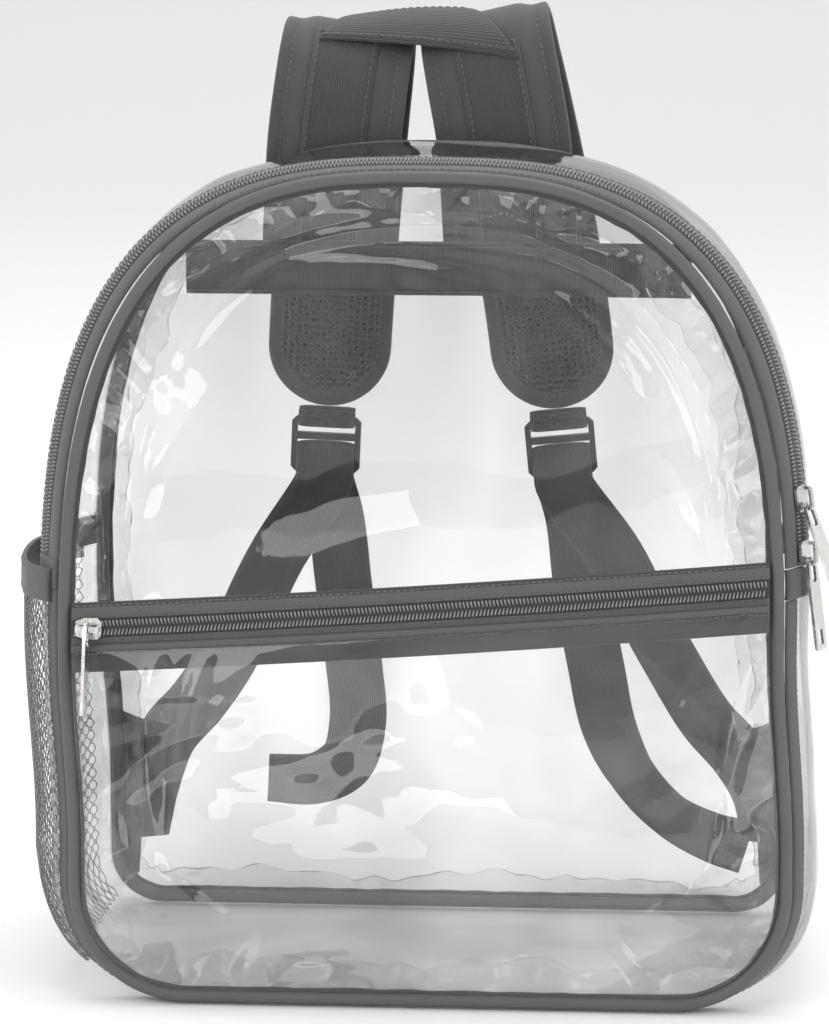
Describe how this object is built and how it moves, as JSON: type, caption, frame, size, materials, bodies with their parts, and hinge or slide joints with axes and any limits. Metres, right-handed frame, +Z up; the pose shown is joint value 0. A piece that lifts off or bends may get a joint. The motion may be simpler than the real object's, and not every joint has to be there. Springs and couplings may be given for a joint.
{
  "type": "clear stadium backpack",
  "caption": "Clear domed backpack with piped seams, a zip round the gusset, a zipped front pocket, a net side pocket, padded shoulder straps and a webbing grab handle.",
  "frame": {"origin": "on the floor under the middle of the bag's flat base", "axes": "+Z up, -Y towards the front pocket, +X towards the zip pulls on the bag's right as seen from the front"},
  "size_m": [0.3368, 0.2083, 0.3889],
  "materials": {
    "clear_vinyl": "clear soft sheet, glossy and slightly wavy",
    "piping": "smooth bound piping",
    "tape": "fine ribbed tape",
    "coil": "coil zip teeth",
    "nickel": "polished nickel",
    "net": "open knitted net",
    "webbing": "ribbed woven webbing",
    "padding": "plain woven cover over foam, with a net lining",
    "lock_plastic": "moulded acetal"
  },
  "bodies": {
    "bag": {"front_panel": "clear_vinyl", "back_panel": "clear_vinyl", "gusset_upper": "clear_vinyl", "gusset_lower": "clear_vinyl", "front_pocket_sheet": "clear_vinyl", "front_piping": "piping", "back_piping": "piping", "lower_edge_tape": "tape", "side_band_right": "tape", "side_band_left": "tape", "main_zip_tape_front": "tape", "main_zip_tape_rear": "tape", "main_zip_chain": "coil", "pocket_zip_chain": "coil", "pocket_zip_tape_upper": "tape", "pocket_zip_tape_lower": "tape", "main_slider_upper": "nickel", "main_slider_lower": "nickel", "pocket_slider": "nickel", "mesh_pocket": "net", "mesh_pocket_binding": "tape", "back_webbing_band": "webbing", "strap_pad_left": "padding", "strap_pad_right": "padding", "handle_webbing": "webbing", "ladder_lock_left": "lock_plastic", "ladder_lock_right": "lock_plastic", "pad_end_loop_left": "webbing", "pad_end_loop_right": "webbing", "adjuster_webbing_left": "webbing", "adjuster_webbing_right": "webbing", "corner_tab_left": "tape", "corner_tab_right": "tape"},
    "upper_pull": {"main_pull_upper": "nickel"},
    "lower_pull": {"main_pull_lower": "nickel"},
    "front_pull": {"pocket_pull": "nickel"}
  },
  "joints": [
    {"name": "upper_pull_swing", "type": "hinge", "parent": "bag", "child": "upper_pull", "pos_m": [0.15445, -0.03315, 0.20218], "axis": [-0.4844, -0.8746, -0.022], "range_deg": [-1, 120]},
    {"name": "lower_pull_swing", "type": "hinge", "parent": "bag", "child": "lower_pull", "pos_m": [0.15632, -0.03598, 0.1803], "axis": [-0.4885, -0.8725, 0.0106], "range_deg": [-2, 120]},
    {"name": "front_pull_swing", "type": "hinge", "parent": "bag", "child": "front_pull", "pos_m": [-0.133, -0.06042, 0.15227], "axis": [-0.9971, 0.0756, -0.0102], "range_deg": [-4, 150]}
  ],
  "couplings": [
    {"joint": "lower_pull_swing", "follows": "upper_pull_swing", "ratio": 1}
  ]
}
